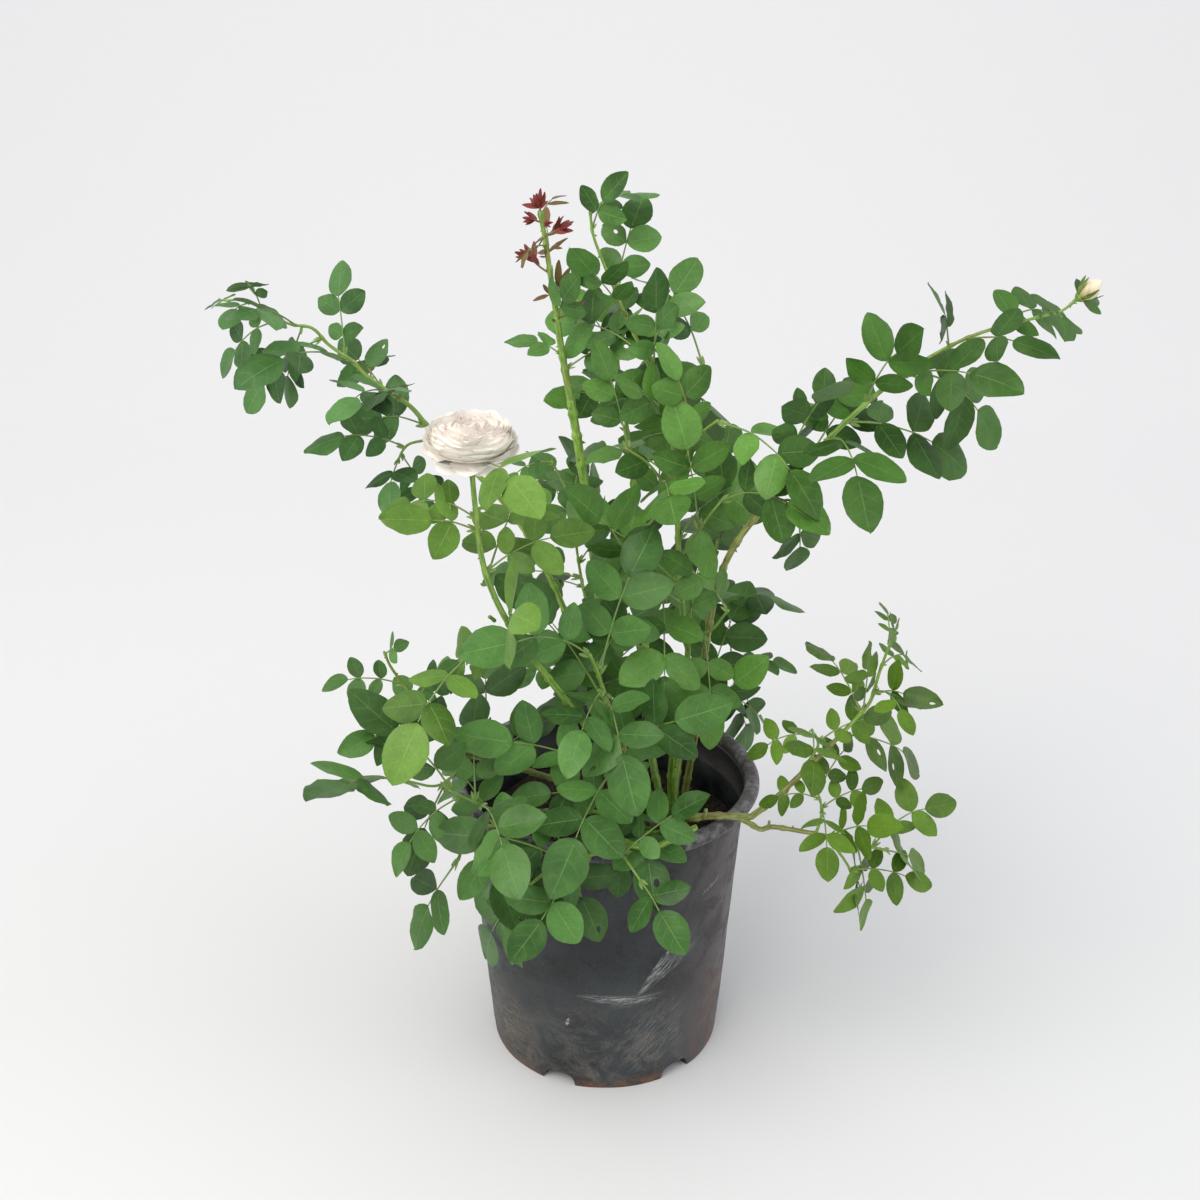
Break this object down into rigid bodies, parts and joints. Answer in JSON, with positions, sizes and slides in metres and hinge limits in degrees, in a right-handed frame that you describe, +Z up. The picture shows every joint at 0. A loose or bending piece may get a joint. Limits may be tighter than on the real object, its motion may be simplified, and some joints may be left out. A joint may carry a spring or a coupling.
{
  "type": "potted rose bush",
  "caption": "Rose bush with long arching canes, leafy shoots, an open cream bloom and a bud, in a tapered nursery pot.",
  "frame": {"origin": "middle of the pot's flat underside, on the surface it stands on", "axes": "+Z up; the long leafy canes spread to -X and +X, and the bloom stands towards -Y"},
  "size_m": [0.7776, 0.5701, 0.8339],
  "materials": {
    "plastic": "dusty, scuffed matt black",
    "soil": "loose bark and peat mix",
    "bark": "smooth green bark with thorns",
    "leaf": "satin green",
    "petal": "soft cream"
  },
  "bodies": {
    "root": {"pot": "plastic", "soil": "soil", "crown": "bark", "cane_a": "bark", "cane_b": "bark", "cane_c": "bark", "cane_d": "bark", "cane_e": "bark", "cane_f": "bark", "cane_g": "bark", "cane_h": "bark", "cane_i": "bark", "cane_j": "bark", "cane_k": "bark", "cane_l": "bark", "cane_m": "bark", "fork_i_up": "bark", "fork_i_down": "bark", "a_top": "leaf", "a_side": "leaf", "b_mid": "leaf", "b_top": "leaf", "b_low_left": "leaf", "b_foot": "leaf", "c_top": "leaf", "c_left": "leaf", "c_right": "leaf", "c_low": "leaf", "d_inner": "leaf", "d_outer": "leaf", "d_left": "leaf", "d_low": "leaf", "e_inner": "leaf", "e_outer": "leaf", "e_fork": "leaf", "f_top": "leaf", "f_left": "leaf", "g_top": "leaf", "g_left": "leaf", "g_mid": "leaf", "h_low": "leaf", "h_right": "leaf", "i_up": "leaf", "i_up_side": "leaf", "i_down": "leaf", "i_down_up": "leaf", "i_down_low": "leaf", "j_low": "leaf", "j_up": "leaf", "j_front": "leaf", "k_top": "leaf", "k_side": "leaf", "l_top": "leaf", "l_side": "leaf", "m_top": "leaf", "m_low": "leaf", "m_right": "leaf", "bloom": "petal", "bud": "petal"}
  },
  "joints": []
}
